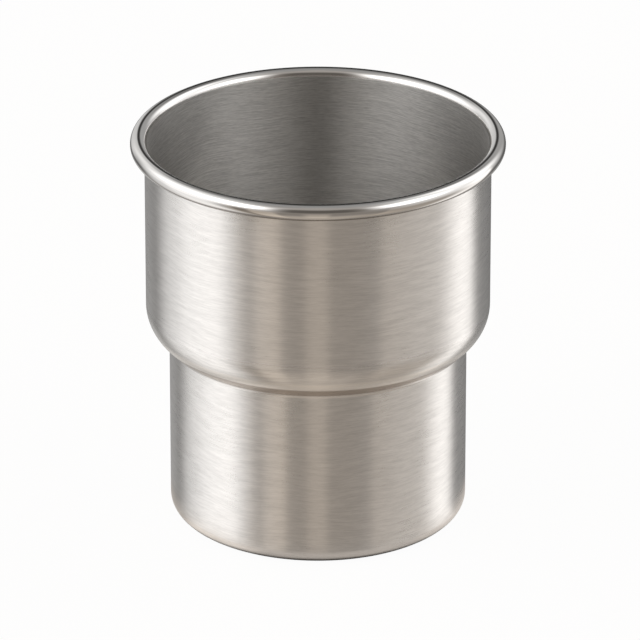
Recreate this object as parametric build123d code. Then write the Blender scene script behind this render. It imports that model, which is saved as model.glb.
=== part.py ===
"""Stepped cup, deep drawn from one disc of stainless sheet, in millimetres.

The cup stands on the origin with its axis along +Z. Both faces of the sheet follow one
line of straight runs and bends, from the middle of the base up to the curled rim. The
closed section between them is turned about the axis.
"""

from build123d import *
import os
from math import acos, cos, degrees, radians, sin, tan

# Overall sizes, and the thickness of the drawn sheet
height = 85.09
rim_diameter = 78.74
lower_diameter = 62.99
sheet = 0.5

# Rim, curled outwards into a hollow bead that ends just short of the wall
bead_diameter = 3.47
curl_gap = 0.15

# Shoulder between the walls, a wide bend above and a tight one below with a short cone between
step_height = 39.3
shoulder_slope = 58.0
upper_bend = 8.5
lower_bend = 1.3

# Base, with its middle pressed up so that the cup stands on a ring
corner_bend = 3.2
ring_width = 2.6
panel_rise = 0.8
panel_slope = 25.0
panel_bend = 2.0

# Radii and centres that follow from those sizes
lower_radius = lower_diameter / 2
upper_radius = rim_diameter / 2 - bead_diameter + sheet
bead_radius = bead_diameter / 2
bead_centre = Vector(rim_diameter / 2 - bead_radius, height - bead_radius)


def bends_that_fit(run, turn, radii):
    """The bend radii at the two ends of a run, limited so that both fit on its length."""
    needed = sum(radii) * tan(radians(turn) / 2)
    share = min(1.0, 0.95 * run / needed)
    return [radius * share for radius in radii]


def outer_corners():
    """The corners of the sheet's outer face before they are bent round, and the bends there."""
    rise = Vector(0, panel_rise)
    panel_run = panel_rise / sin(radians(panel_slope))
    ring_edge = Vector(lower_radius - corner_bend - ring_width, 0)
    panel_edge = rise + ring_edge - Vector(panel_run * cos(radians(panel_slope)), 0)

    cone_run = (upper_radius - lower_radius) / sin(radians(shoulder_slope))
    step = Vector(lower_radius, step_height)
    shoulder = Vector(upper_radius, step_height + cone_run * cos(radians(shoulder_slope)))

    corners = [rise, panel_edge, ring_edge, Vector(lower_radius, 0), step, shoulder]
    corners.append(Vector(upper_radius, bead_centre.Y))
    bends = bends_that_fit(panel_run, panel_slope, [panel_bend, panel_bend])
    bends.append(corner_bend)
    bends += bends_that_fit(cone_run, shoulder_slope, [lower_bend, upper_bend])
    return corners, bends


def sheet_face(depth):
    """The face that lies this deep in the sheet, as a line from the axis to the curl's end."""
    corners, bends = outer_corners()
    runs = [(end - start).normalized() for start, end in zip(corners, corners[1:])]
    inward = [Vector(-run.Y, run.X) for run in runs]

    # Each corner moves along the line that halves it, and its bend keeps its centre
    points = [corners[0] + inward[0] * depth]
    radii = []
    for corner, bend, before, after in zip(corners[1:], bends, inward, inward[1:]):
        halving = (before + after) * (1 / (1 + before.dot(after)))
        points.append(corner + halving * depth)
        turns_inwards = before.cross(after).Z > 0
        radii.append(bend - depth if turns_inwards else bend + depth)
    points.append(corners[-1] + inward[-1] * depth)
    walls = FilletPolyline(*points, radius=radii)

    # The curl goes up, outwards and down round the bead's centre, and back under it
    curl_end = acos((bead_radius - sheet - curl_gap) / bead_radius)
    curl_radius = bead_radius - sheet + depth
    curl = CenterArc(bead_centre, curl_radius, 180, degrees(curl_end) - 360)
    return walls, curl


def cup():
    """The one drawn piece, turned from the closed section of its sheet."""
    outer_walls, outer_curl = sheet_face(0)
    inner_walls, inner_curl = sheet_face(sheet)
    centre_line = Line(outer_walls @ 0, inner_walls @ 0)
    cut_edge = Line(outer_curl @ 1, inner_curl @ 1)
    outline = outer_walls + outer_curl + cut_edge + inner_curl + inner_walls + centre_line
    section = Plane.XZ * make_face(outline)
    return revolve(section, axis=Axis.Z)


os.makedirs("parts", exist_ok=True)
export_step(cup(), "parts/drawn_cup.step")
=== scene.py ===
import bpy
import numpy as np
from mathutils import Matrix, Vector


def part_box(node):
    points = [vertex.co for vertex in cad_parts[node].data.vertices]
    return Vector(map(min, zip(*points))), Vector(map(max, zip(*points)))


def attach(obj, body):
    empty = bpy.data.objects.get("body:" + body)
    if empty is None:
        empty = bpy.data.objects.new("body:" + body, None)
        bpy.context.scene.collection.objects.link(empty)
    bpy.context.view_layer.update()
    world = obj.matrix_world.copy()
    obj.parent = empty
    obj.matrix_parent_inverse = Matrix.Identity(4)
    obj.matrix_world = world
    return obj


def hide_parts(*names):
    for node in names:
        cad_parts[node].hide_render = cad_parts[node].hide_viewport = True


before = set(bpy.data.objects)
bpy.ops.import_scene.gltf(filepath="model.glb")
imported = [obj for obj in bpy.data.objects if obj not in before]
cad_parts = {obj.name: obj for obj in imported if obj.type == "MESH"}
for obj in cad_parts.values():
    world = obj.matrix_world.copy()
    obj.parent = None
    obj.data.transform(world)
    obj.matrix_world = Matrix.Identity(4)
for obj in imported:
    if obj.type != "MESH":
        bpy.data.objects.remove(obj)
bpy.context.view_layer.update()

# The cup is one round disc of stainless sheet. A first draw makes its wide wall, a second
# one the narrower wall below it with a bent shoulder between the two, and the edge is then
# curled outwards into a hollow bead. Both faces of the sheet follow one line all the way.
lowest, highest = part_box("drawn_cup")
height = highest[2] - lowest[2]
rim_radius = (highest[0] - lowest[0]) / 2
lower_radius = 0.031495
sheet = 0.0005

bead_diameter = 0.00347
curl_gap = 0.00015

step_height = 0.0393
shoulder_slope = np.radians(58)
upper_bend = 0.0085
lower_bend = 0.0013

corner_bend = 0.0032
ring_width = 0.0026
panel_rise = 0.0008
panel_slope = np.radians(25)
panel_bend = 0.002

longest_step = 0.0022
sharpest_step = np.radians(4.5)
segments = 240


def outer_corners():
    """The outer face's corners as (radius, height), and the bend that rounds each of them."""
    upper_radius = rim_radius - bead_diameter + sheet
    ring_edge = lower_radius - corner_bend - ring_width
    panel_edge = ring_edge - panel_rise / np.tan(panel_slope)
    cone_top = step_height + (upper_radius - lower_radius) / np.tan(shoulder_slope)
    corners = [
        (0, panel_rise),
        (panel_edge, panel_rise),
        (ring_edge, 0),
        (lower_radius, 0),
        (lower_radius, step_height),
        (upper_radius, cone_top),
        (upper_radius, height - bead_diameter / 2),
    ]
    bends = [0, panel_bend, panel_bend, corner_bend, lower_bend, upper_bend, 0]
    return np.array(corners), np.array(bends)


def outer_line():
    """The outer face from the middle of the base to the cut edge, as points and headings.

    The line is straight runs joined by bends. A bend takes its radius times the tangent of
    half its turn from the run on each side, and the curl is a last bend that turns back
    under the bead. Every run and bend is cut into equal steps. A step of length s that
    turns by t has a chord of s sin(t / 2) / (t / 2) along the heading at its middle, and
    the points are the running sums of the chords.
    """
    corners, bends = outer_corners()
    runs = np.diff(corners, axis=0)
    directions = np.arctan2(runs[:, 1], runs[:, 0])
    turns = np.diff(directions, prepend=directions[0], append=directions[-1])
    taken = bends * np.tan(abs(turns) / 2)
    straight = np.hypot(runs[:, 0], runs[:, 1]) - taken[:-1] - taken[1:]

    curl_radius = bead_diameter / 2 - sheet
    curl_turn = np.arccos((curl_radius - curl_gap) / (curl_radius + sheet)) - 2 * np.pi
    bends[-1] = curl_radius
    turns[-1] = curl_turn
    lengths = np.stack([straight, bends[1:] * abs(turns[1:])], axis=1).ravel()
    angles = np.stack([0 * straight, turns[1:]], axis=1).ravel()
    steps = np.ceil(np.maximum(lengths / longest_step, abs(angles) / sharpest_step)).astype(int)

    step_turn = np.repeat(angles / steps, steps)
    heading = np.cumsum(np.append(0, step_turn))
    middle = heading[:-1] + step_turn / 2
    chord = np.repeat(lengths / steps, steps) * np.sinc(step_turn / 2 / np.pi)
    chords = chord[:, None] * np.stack([np.cos(middle), np.sin(middle)], axis=1)
    return np.cumsum(np.vstack([corners[0], chords]), axis=0), heading


def closed_section():
    """The sheet's whole section, and which way each band between two of its points faces.

    The inner face lies one sheet's thickness to the left of the outer line. The section
    goes out along the outer face, across the cut edge and back along the inner face. The
    outer face points a quarter turn right of its heading, the inner face a quarter turn
    left of it, and the cut edge straight on.
    """
    line, heading = outer_line()
    left = np.stack([-np.sin(heading), np.cos(heading)], axis=1)
    section = np.vstack([line, (line + sheet * left)[::-1]])
    outer = heading - np.pi / 2
    inner = heading[::-1] + np.pi / 2
    first = np.concatenate([outer[:-1], heading[-1:], inner[:-1]])
    last = np.concatenate([outer[1:], heading[-1:], inner[1:]])
    return section, first, last


def turned_mesh(name):
    """The section turned about Z: (radius cos a, radius sin a, height) for angles a.

    The section's two ends lie on the axis and become one vertex each, so the bands there
    are triangles and all the others are four-cornered.
    """
    section, first, last = closed_section()
    angle = np.arange(segments + 1) * 2 * np.pi / segments
    around = np.stack([np.cos(angle), np.sin(angle)], axis=1)
    rings = section[1:-1]
    points = np.empty((len(rings), segments, 3))
    points[:, :, :2] = rings[:, None, :1] * around[None, :-1]
    points[:, :, 2] = rings[:, None, 1]
    poles = np.array([[0, 0, section[0, 1]], [0, 0, section[-1, 1]]])
    points = np.vstack([poles[:1], points.reshape(-1, 3), poles[1:]])

    index = np.zeros((len(section), segments + 1), int)
    index[1:-1, :-1] = 1 + np.arange(len(rings) * segments).reshape(-1, segments)
    index[1:-1, -1] = index[1:-1, 0]
    index[-1] = len(points) - 1
    travelled = np.append(0, np.cumsum(np.hypot(*np.diff(section, axis=0).T)))
    along = np.broadcast_to(travelled[:, None] / travelled[-1], index.shape)
    share = np.broadcast_to(np.arange(segments + 1) / segments, index.shape)

    def four_corners(grid):
        """The values at the four corners of each face, anticlockwise seen from outside."""
        return np.stack([grid[:-1, :-1], grid[:-1, 1:], grid[1:, 1:], grid[1:, :-1]], axis=2)

    def facing(tilts, sides):
        """Unit normals: a tilt out of the horizontal plane, at each of the angles around."""
        normals = np.empty((len(tilts), segments, 3))
        normals[:, :, :2] = np.cos(tilts)[:, None, None] * sides
        normals[:, :, 2] = np.sin(tilts)[:, None]
        return normals

    ways = [(first, around[:-1]), (first, around[1:]), (last, around[1:]), (last, around[:-1])]
    normals = np.stack([facing(tilts, sides) for tilts, sides in ways], axis=2)
    used = np.ones(normals.shape[:3], bool)
    used[0, :, 1] = False
    used[-1, :, 3] = False
    corners = four_corners(index)
    faces = [*corners[0][:, [0, 2, 3]].tolist(), *corners[1:-1].reshape(-1, 4).tolist()]
    faces += corners[-1][:, :3].tolist()

    mesh = bpy.data.meshes.new(name)
    mesh.from_pydata(points.tolist(), [], faces)
    layout = mesh.uv_layers.new(name="around_and_along")
    places = np.stack([four_corners(share)[used], four_corners(along)[used]], axis=1)
    layout.uv.foreach_set("vector", places.astype(np.float32).ravel())
    mesh.shade_smooth()
    mesh.normals_split_custom_set(normals[used].tolist())
    inside = np.repeat(np.arange(len(first)) > len(first) // 2, segments)
    mesh.polygons.foreach_set("material_index", inside.astype(np.int32))
    return mesh


class Shade:
    """A socket of a shader. Sums and products written on shades add their Math nodes."""

    def __init__(self, tree, socket=None):
        self.tree = tree
        self.socket = socket

    def node(self, kind, settings=None, sockets=None, output=0):
        """Adds a node, applies its settings, then fills or links its sockets by name."""
        node = self.tree.nodes.new(kind)
        for name, value in (settings or {}).items():
            setattr(node, name, value)
        for name, value in (sockets or {}).items():
            if isinstance(value, Shade):
                self.tree.links.new(value.socket, node.inputs[name])
            else:
                node.inputs[name].default_value = value
        return Shade(self.tree, node.outputs[output] if node.outputs else None)

    def maths(self, operation, *others):
        """A Math node on this and the others, in that order."""
        values = dict(enumerate((self, *others)))
        return self.node("ShaderNodeMath", {"operation": operation}, values)

    def __add__(self, other):
        return self.maths("ADD", other)

    def __sub__(self, other):
        return self.maths("SUBTRACT", other)

    def __rsub__(self, other):
        return self.maths("MULTIPLY_ADD", -1.0, other)

    def __mul__(self, other):
        return self.maths("MULTIPLY", other)

    def __truediv__(self, other):
        return self.maths("DIVIDE", other)

    __radd__ = __add__
    __rmul__ = __mul__

    def fade(self, start, end):
        """0 where this is at start and 1 where it is at end, eased at both."""
        settings = {"interpolation_type": "SMOOTHSTEP"}
        return self.node("ShaderNodeMapRange", settings, {"Value": self, 1: start, 2: end})

    def axes(self):
        """This vector's x, y and z."""
        sockets = {"Vector": self}
        return [self.node("ShaderNodeSeparateXYZ", sockets=sockets, output=axis) for axis in "XYZ"]

    def vector_maths(self, operation, sockets=None, output=0):
        """A Vector Math node on this vector or colour, and on what its other sockets are given."""
        sockets = {0: self, **(sockets or {})}
        return self.node("ShaderNodeVectorMath", {"operation": operation}, sockets, output)

    def scale(self, colour):
        """The colour or vector times this level."""
        settings = {"operation": "SCALE"}
        return self.node("ShaderNodeVectorMath", settings, {0: colour, "Scale": self})

    def blend(self, first, second):
        """The colour first where this is 0, and second where it is 1."""
        sockets = {0: self, 6: first, 7: second}
        return self.node("ShaderNodeMix", {"data_type": "RGBA"}, sockets, output=2)


def emptied(owner):
    """A shade without a socket, to start on the emptied nodes of a material or a world."""
    owner.use_nodes = True
    owner.node_tree.nodes.clear()
    return Shade(owner.node_tree)


def brushed_steel(name, dullness, one_way, depth, coarseness, palest, darkest, painted_neck_bands):
    """Stainless sheet brushed round and round, and polished bright on the bead.

    The brush lines are noise on (x / r, y / r, height + radius), stretched far round the
    cup and short along the sheet, so that they close on themselves and follow the base,
    the walls and the shoulder alike. They sway a little, as a hand-held pad does.

    Dullness is the roughness that the brushing adds, one_way is how much of it follows the
    lines, depth is the lines' depth in micrometres and coarseness the share of wide lines.
    The lines run in tone from darkest to palest. With the neck bands at 1, the neck gets a
    brown line of painted shade and a pale band of painted highlight above it, and in every
    finish the bead is painted dark where it turns in to the wall: painted shade.
    """
    material = bpy.data.materials.new(name)
    shade = emptied(material)
    never_zero = 1e-9
    x, y, z = shade.node("ShaderNodeTexCoord", output="Object").axes()
    radius = (x * x + y * y + never_zero).maths("SQRT")
    cosine = x / radius
    sine = y / radius

    def noise(around, along, detail, shift=0.0):
        """Noise with that many features per radian round the cup and per metre along it."""
        sockets = {"X": cosine * around, "Y": sine * around, "Z": (z + radius + shift) * along}
        vector = shade.node("ShaderNodeCombineXYZ", sockets=sockets)
        sockets = {"Vector": vector, "Scale": 1.0, "Detail": detail}
        return shade.node("ShaderNodeTexNoise", sockets=sockets)

    most_sway = 0.0011
    sway = (noise(around=2.5, along=60, detail=0) - 0.5) * (2 * most_sway)
    long_lines = noise(around=6, along=5600, detail=2, shift=sway)
    short_lines = noise(around=26, along=6400, detail=1, shift=sway)
    wide_lines = noise(around=6, along=1300, detail=1, shift=sway)
    patches = noise(around=3, along=40, detail=1)
    lines = long_lines * 0.6 + short_lines * 0.4
    lines = lines * (1 - coarseness) + wide_lines * coarseness

    # The parts of the cup, by metres out from the bead's middle ring, up from that ring's
    # height and up from the neck.
    out_from_bead = radius - (rim_radius - bead_diameter / 2)
    up_from_bead = z - (height - bead_diameter / 2)
    up_from_neck = z - step_height
    outer_half = out_from_bead.fade(-0.0006, -0.0002)
    # Painted shade: the lowest part of the bead's outer half, where it turns in to the wall, is
    # coloured dark.
    painted_bead_shade = outer_half * up_from_bead.fade(-0.0008, -0.0012)
    brushed = 1 - outer_half.maths("MAXIMUM", up_from_bead.fade(-0.0001, 0.0009))
    shoulder = up_from_neck.fade(-0.0008, -0.0001) * up_from_neck.fade(0.0092, 0.0062)
    # Painted shade: a brown line round the neck.
    painted_neck_shade = up_from_neck.fade(-0.0002, 0.0002) * up_from_neck.fade(0.0027, 0.0022) * painted_neck_bands
    # Painted highlight: a pale band just above the neck.
    painted_neck_highlight = up_from_neck.fade(0.0023, 0.0028) * up_from_neck.fade(0.0047, 0.0039) * painted_neck_bands

    polish = 0.06
    finer_on_shoulder = 0.05
    unevenness = 0.03
    added = dullness - finer_on_shoulder * shoulder + unevenness * lines + unevenness * patches
    roughness = polish + brushed * added

    # The neck's brown and the dark colour under the bead are painted shade, the pale band's colour a
    # painted highlight.
    neck_shade_brown = (0.55, 0.49, 0.44, 1)
    neck_highlight_colour = (0.97, 0.93, 0.885, 1)
    bead_colour = (0.74, 0.725, 0.71, 1)
    bead_shade_colour = (0.25, 0.225, 0.20, 1)
    brushed_colour = lines.fade(0.25, 0.75).blend(darkest, palest)
    brushed_colour = painted_neck_shade.blend(brushed_colour, neck_shade_brown)
    brushed_colour = painted_neck_highlight.blend(brushed_colour, neck_highlight_colour)
    colour = brushed.blend(painted_bead_shade.blend(bead_colour, bead_shade_colour), brushed_colour)

    # Each line also leans a little to one side, so that what it mirrors has ragged edges.
    most_lean = 0.015
    lean = (noise(around=7, along=4700, detail=1, shift=sway + 0.3) - 0.5) * (2 * most_lean * depth)
    round_the_cup = shade.node("ShaderNodeCombineXYZ", sockets={"X": 0 - sine, "Y": cosine, "Z": 0.0})
    facing = shade.node("ShaderNodeNewGeometry", output="Normal")
    facing = facing.vector_maths("ADD", {1: (lean * brushed).scale(round_the_cup)})
    facing = facing.vector_maths("NORMALIZE")
    micrometre = 0.000001
    bump = shade.node(
        "ShaderNodeBump",
        sockets={
            "Strength": 1.0,
            "Distance": depth * micrometre,
            "Height": lines * brushed,
            "Normal": facing,
        },
    )
    steel = shade.node(
        "ShaderNodeBsdfPrincipled",
        sockets={
            "Base Color": colour,
            "Roughness": roughness,
            "Metallic": 1.0,
            "Anisotropic": one_way,
            "Anisotropic Rotation": 0.25,
            "Normal": bump,
        },
    )
    shade.node("ShaderNodeOutputMaterial", sockets={"Surface": steel})
    return material


brushed_outside = brushed_steel(
    "brushed_outside",
    dullness=0.19,
    one_way=0.93,
    depth=0.5,
    coarseness=0.35,
    palest=(0.90, 0.88, 0.86, 1),
    darkest=(0.70, 0.685, 0.67, 1),
    painted_neck_bands=1.0,
)
# The inside's tones are darker overall than the outside's: painted shade of the hollow. Their wider
# spread is the brush lines' own tone.
brushed_inside = brushed_steel(
    "brushed_inside",
    dullness=0.26,
    one_way=0.82,
    depth=1.2,
    coarseness=0.05,
    palest=(0.84, 0.825, 0.805, 1),
    darkest=(0.53, 0.52, 0.505, 1),
    painted_neck_bands=0.0,
)
cup = bpy.data.objects.new("cup", turned_mesh("cup"))
bpy.context.scene.collection.objects.link(cup)
cup.data.materials.append(brushed_outside)
cup.data.materials.append(brushed_inside)
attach(cup, "root")
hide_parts("drawn_cup")


# The floor is a plain pale table top, almost white to the camera. Close round the cup it gives
# off the light that a table would throw back at the steel. Further out everything but the
# camera looks through it, to the studio's warm table.
floor_half = 3.0
floor_colour = (0.80, 0.72, 0.65, 1)
share_of_white = 0.96
floor_starts_to_open = 0.0352
floor_is_open = 0.038

thrown_colour = (1.0, 0.92, 0.84)
thrown_back = 0.53
more_at_the_left = 0.34
more_at_the_right = 0.2
painted_shadow_under_corner = 0.0012

floor_mesh = bpy.data.meshes.new("floor")
floor_corners = [(-floor_half, -floor_half, 0), (floor_half, -floor_half, 0),
                 (floor_half, floor_half, 0), (-floor_half, floor_half, 0)]
floor_mesh.from_pydata(floor_corners, [], [(0, 1, 2, 3)])
floor = bpy.data.objects.new("floor", floor_mesh)
bpy.context.scene.collection.objects.link(floor)


def pale_floor():
    """Nearly white to the camera, a dim light close to the cup, and clear to rays further out."""
    material = bpy.data.materials.new("pale_floor")
    shade = emptied(material)
    camera_ray = shade.node("ShaderNodeLightPath", output="Is Camera Ray")
    place = shade.node("ShaderNodeTexCoord", output="Object")
    away = place.vector_maths("LENGTH", output="Value")

    matt = shade.node("ShaderNodeBsdfDiffuse", sockets={"Color": floor_colour})
    white = shade.node("ShaderNodeEmission", sockets={"Color": (1, 1, 1, 1), "Strength": 1.0})
    seen = shade.node("ShaderNodeMixShader", sockets={0: share_of_white, 1: matt, 2: white})

    beside = place.axes()[0] / away
    left = beside.fade(-0.35, -0.65) * beside.fade(-0.97, -0.88)
    right = beside.fade(0.68, 0.85)
    level = thrown_back + more_at_the_left * left + more_at_the_right * right
    # The glow fades out where the base's corner touches the floor: a painted contact shadow.
    level = level * away.fade(lower_radius - painted_shadow_under_corner, lower_radius)
    colour = level.scale(thrown_colour)
    thrown = shade.node("ShaderNodeEmission", sockets={"Color": colour, "Strength": 1.0})

    near = shade.node("ShaderNodeMixShader", sockets={0: camera_ray, 1: thrown, 2: seen})
    opened = away.fade(floor_starts_to_open, floor_is_open) * (1 - camera_ray)
    clear = shade.node("ShaderNodeBsdfTransparent")
    surface = shade.node("ShaderNodeMixShader", sockets={0: opened, 1: near, 2: clear})
    shade.node("ShaderNodeOutputMaterial", sockets={"Surface": surface})
    return material


floor_mesh.materials.append(pale_floor())


# The studio is a ring of soft cards round the cup: a wide one on each side, brightest level
# with the cup, over a warm table, with a dim gap in front and one behind. It lights and is
# mirrored by everything, and only the camera looks past it to plain white.
def studio_light(world):
    """Light by direction: azimuth from the front, positive to the right, and elevation.

    The light is room + table + cards, each in its own tint, and all of them times what the
    dim gaps let through.
    """
    shade = emptied(world)
    x, y, z = shade.node("ShaderNodeTexCoord", output="Generated").axes()
    azimuth = x.maths("ARCTAN2", 0 - y) * np.degrees(1)
    elevation = z.maths("ARCSINE") * np.degrees(1)
    from_front = azimuth.maths("ABSOLUTE")

    def card(level, left, right, bottom, top):
        """A soft card. Each edge is the pair of angles where it is dark and where it is full."""
        across = azimuth.fade(*left) * azimuth.fade(*right)
        return across * elevation.fade(*bottom) * elevation.fade(*top) * level

    # The wide cards at the sides, and their lower parts, which the walls mirror.
    left_card = card(1.67, (-170, -95), (-15, -63), (-13, 26), (80, 30))
    left_low = card(0.64, (-144, -108), (-49, -74), (-70, -44), (14, -6))
    left_bright = card(0.26, (-108, -94), (-49, -74), (-70, -44), (14, -6))
    right_card = card(1.12, (20, 88), (157, 109.5), (-31, 27), (83, 32))
    right_low = card(0.82, (84, 113), (128, 122), (-66, -42), (14, -6))

    # Higher ones, which the inside and the bead mirror, and those behind the cup.
    high_left = card(1.3, (-95, -70), (-25, -50), (12, 24), (62, 44))
    high_right = card(1.2, (28, 52), (95, 70), (12, 24), (62, 44))
    far_right_high = card(0.6, (100, 115), (152, 130), (0, 25), (75, 45))
    behind_left = card(0.5, (-177, -169), (-130, -150), (-18, -6), (45, 25))
    behind_right = card(0.22, (125, 145), (177, 169), (-8, 5), (45, 25))
    behind_low = 0.32 * azimuth.fade(-138, -154) + 0.14 * azimuth.fade(134, 154)
    behind_low = behind_low * elevation.fade(-58, -42) * elevation.fade(-16, -26)
    overhead = 0.17 * elevation.fade(38, 72)
    cards = high_left + high_right + left_card + left_low + left_bright
    cards = cards + right_card + right_low + far_right_high
    cards = cards + behind_left + behind_right + overhead + behind_low

    # The table in front, with paler stretches on it, and the plain room.
    front_left = card(0.265, (-60, -50), (-22, -28), (-75, -50), (10, -10))
    front_right = card(0.155, (40, 45), (134, 120), (-75, -50), (10, -10))
    front_strip = card(0.165, (-12, -4), (10, 4), (-65, -45), (10, -10))
    table_level = 0.11
    table = elevation.fade(-14, -50) * (table_level + table_level * from_front.fade(70, 10))
    table = table + front_left + front_right + front_strip
    room_level = 0.197
    more_in_front = 0.075
    room = room_level + more_in_front * from_front.fade(60, 20)

    # The dim gaps, each by the share of the light that it takes away.
    gap_behind = 0.75 * from_front.fade(168, 178) * elevation.fade(-34, -22) * elevation.fade(54, 38)
    gap_low = 0.4 * from_front.fade(118, 135) * elevation.fade(-28, -21) * elevation.fade(-6, -12)
    gap_ahead = card(0.5, (-34, -14), (36, 16), (8, 20), (60, 46))
    gap_in_the_table = card(0.5, (-56, -50), (-40, -45), (-75, -50), (10, -10))
    shown = (1 - gap_behind) * (1 - gap_ahead) * (1 - gap_low) * (1 - gap_in_the_table)

    white = (1.0, 1.0, 1.0)
    table_tint = (1.0, 0.86, 0.71)
    room_tint = from_front.fade(130, 40).blend((1.0, 0.99, 0.97, 1), (1.0, 0.905, 0.81, 1))
    light = (room * shown).scale(room_tint)
    light = light.vector_maths("ADD", {1: (table * shown).scale(table_tint)})
    light = light.vector_maths("ADD", {1: (cards * shown).scale(white)})
    camera_ray = shade.node("ShaderNodeLightPath", output="Is Camera Ray")
    sockets = {"Color": camera_ray.blend(light, (1, 1, 1, 1)), "Strength": 1.0}
    background = shade.node("ShaderNodeBackground", sockets=sockets)
    shade.node("ShaderNodeOutputWorld", sockets={"Surface": background})


world = bpy.data.worlds.new("studio")
bpy.context.scene.world = world
studio_light(world)


# The camera stands well back in front of the cup and looks down on it through a long lens.
# Its distance, height and scale are those at which the rim and the walls fit the photograph.
view_distance = 1.461
view_elevation = np.radians(24.06)
pixels_per_metre = 4720
frame_pixels = 640
sensor_width = 36
right_of_the_axis = 0.00042
aim = np.array([right_of_the_axis, 0, height / 2])

camera_data = bpy.data.cameras.new("camera")
camera_data.sensor_width = sensor_width
camera_data.lens = sensor_width * pixels_per_metre * view_distance / frame_pixels
camera = bpy.data.objects.new("camera", camera_data)
bpy.context.scene.collection.objects.link(camera)
camera.location = aim + view_distance * np.array([0, -np.cos(view_elevation), np.sin(view_elevation)])
camera.rotation_euler = (np.pi / 2 - view_elevation, 0, 0)
bpy.context.scene.camera = camera
bpy.context.scene.view_settings.view_transform = "Standard"
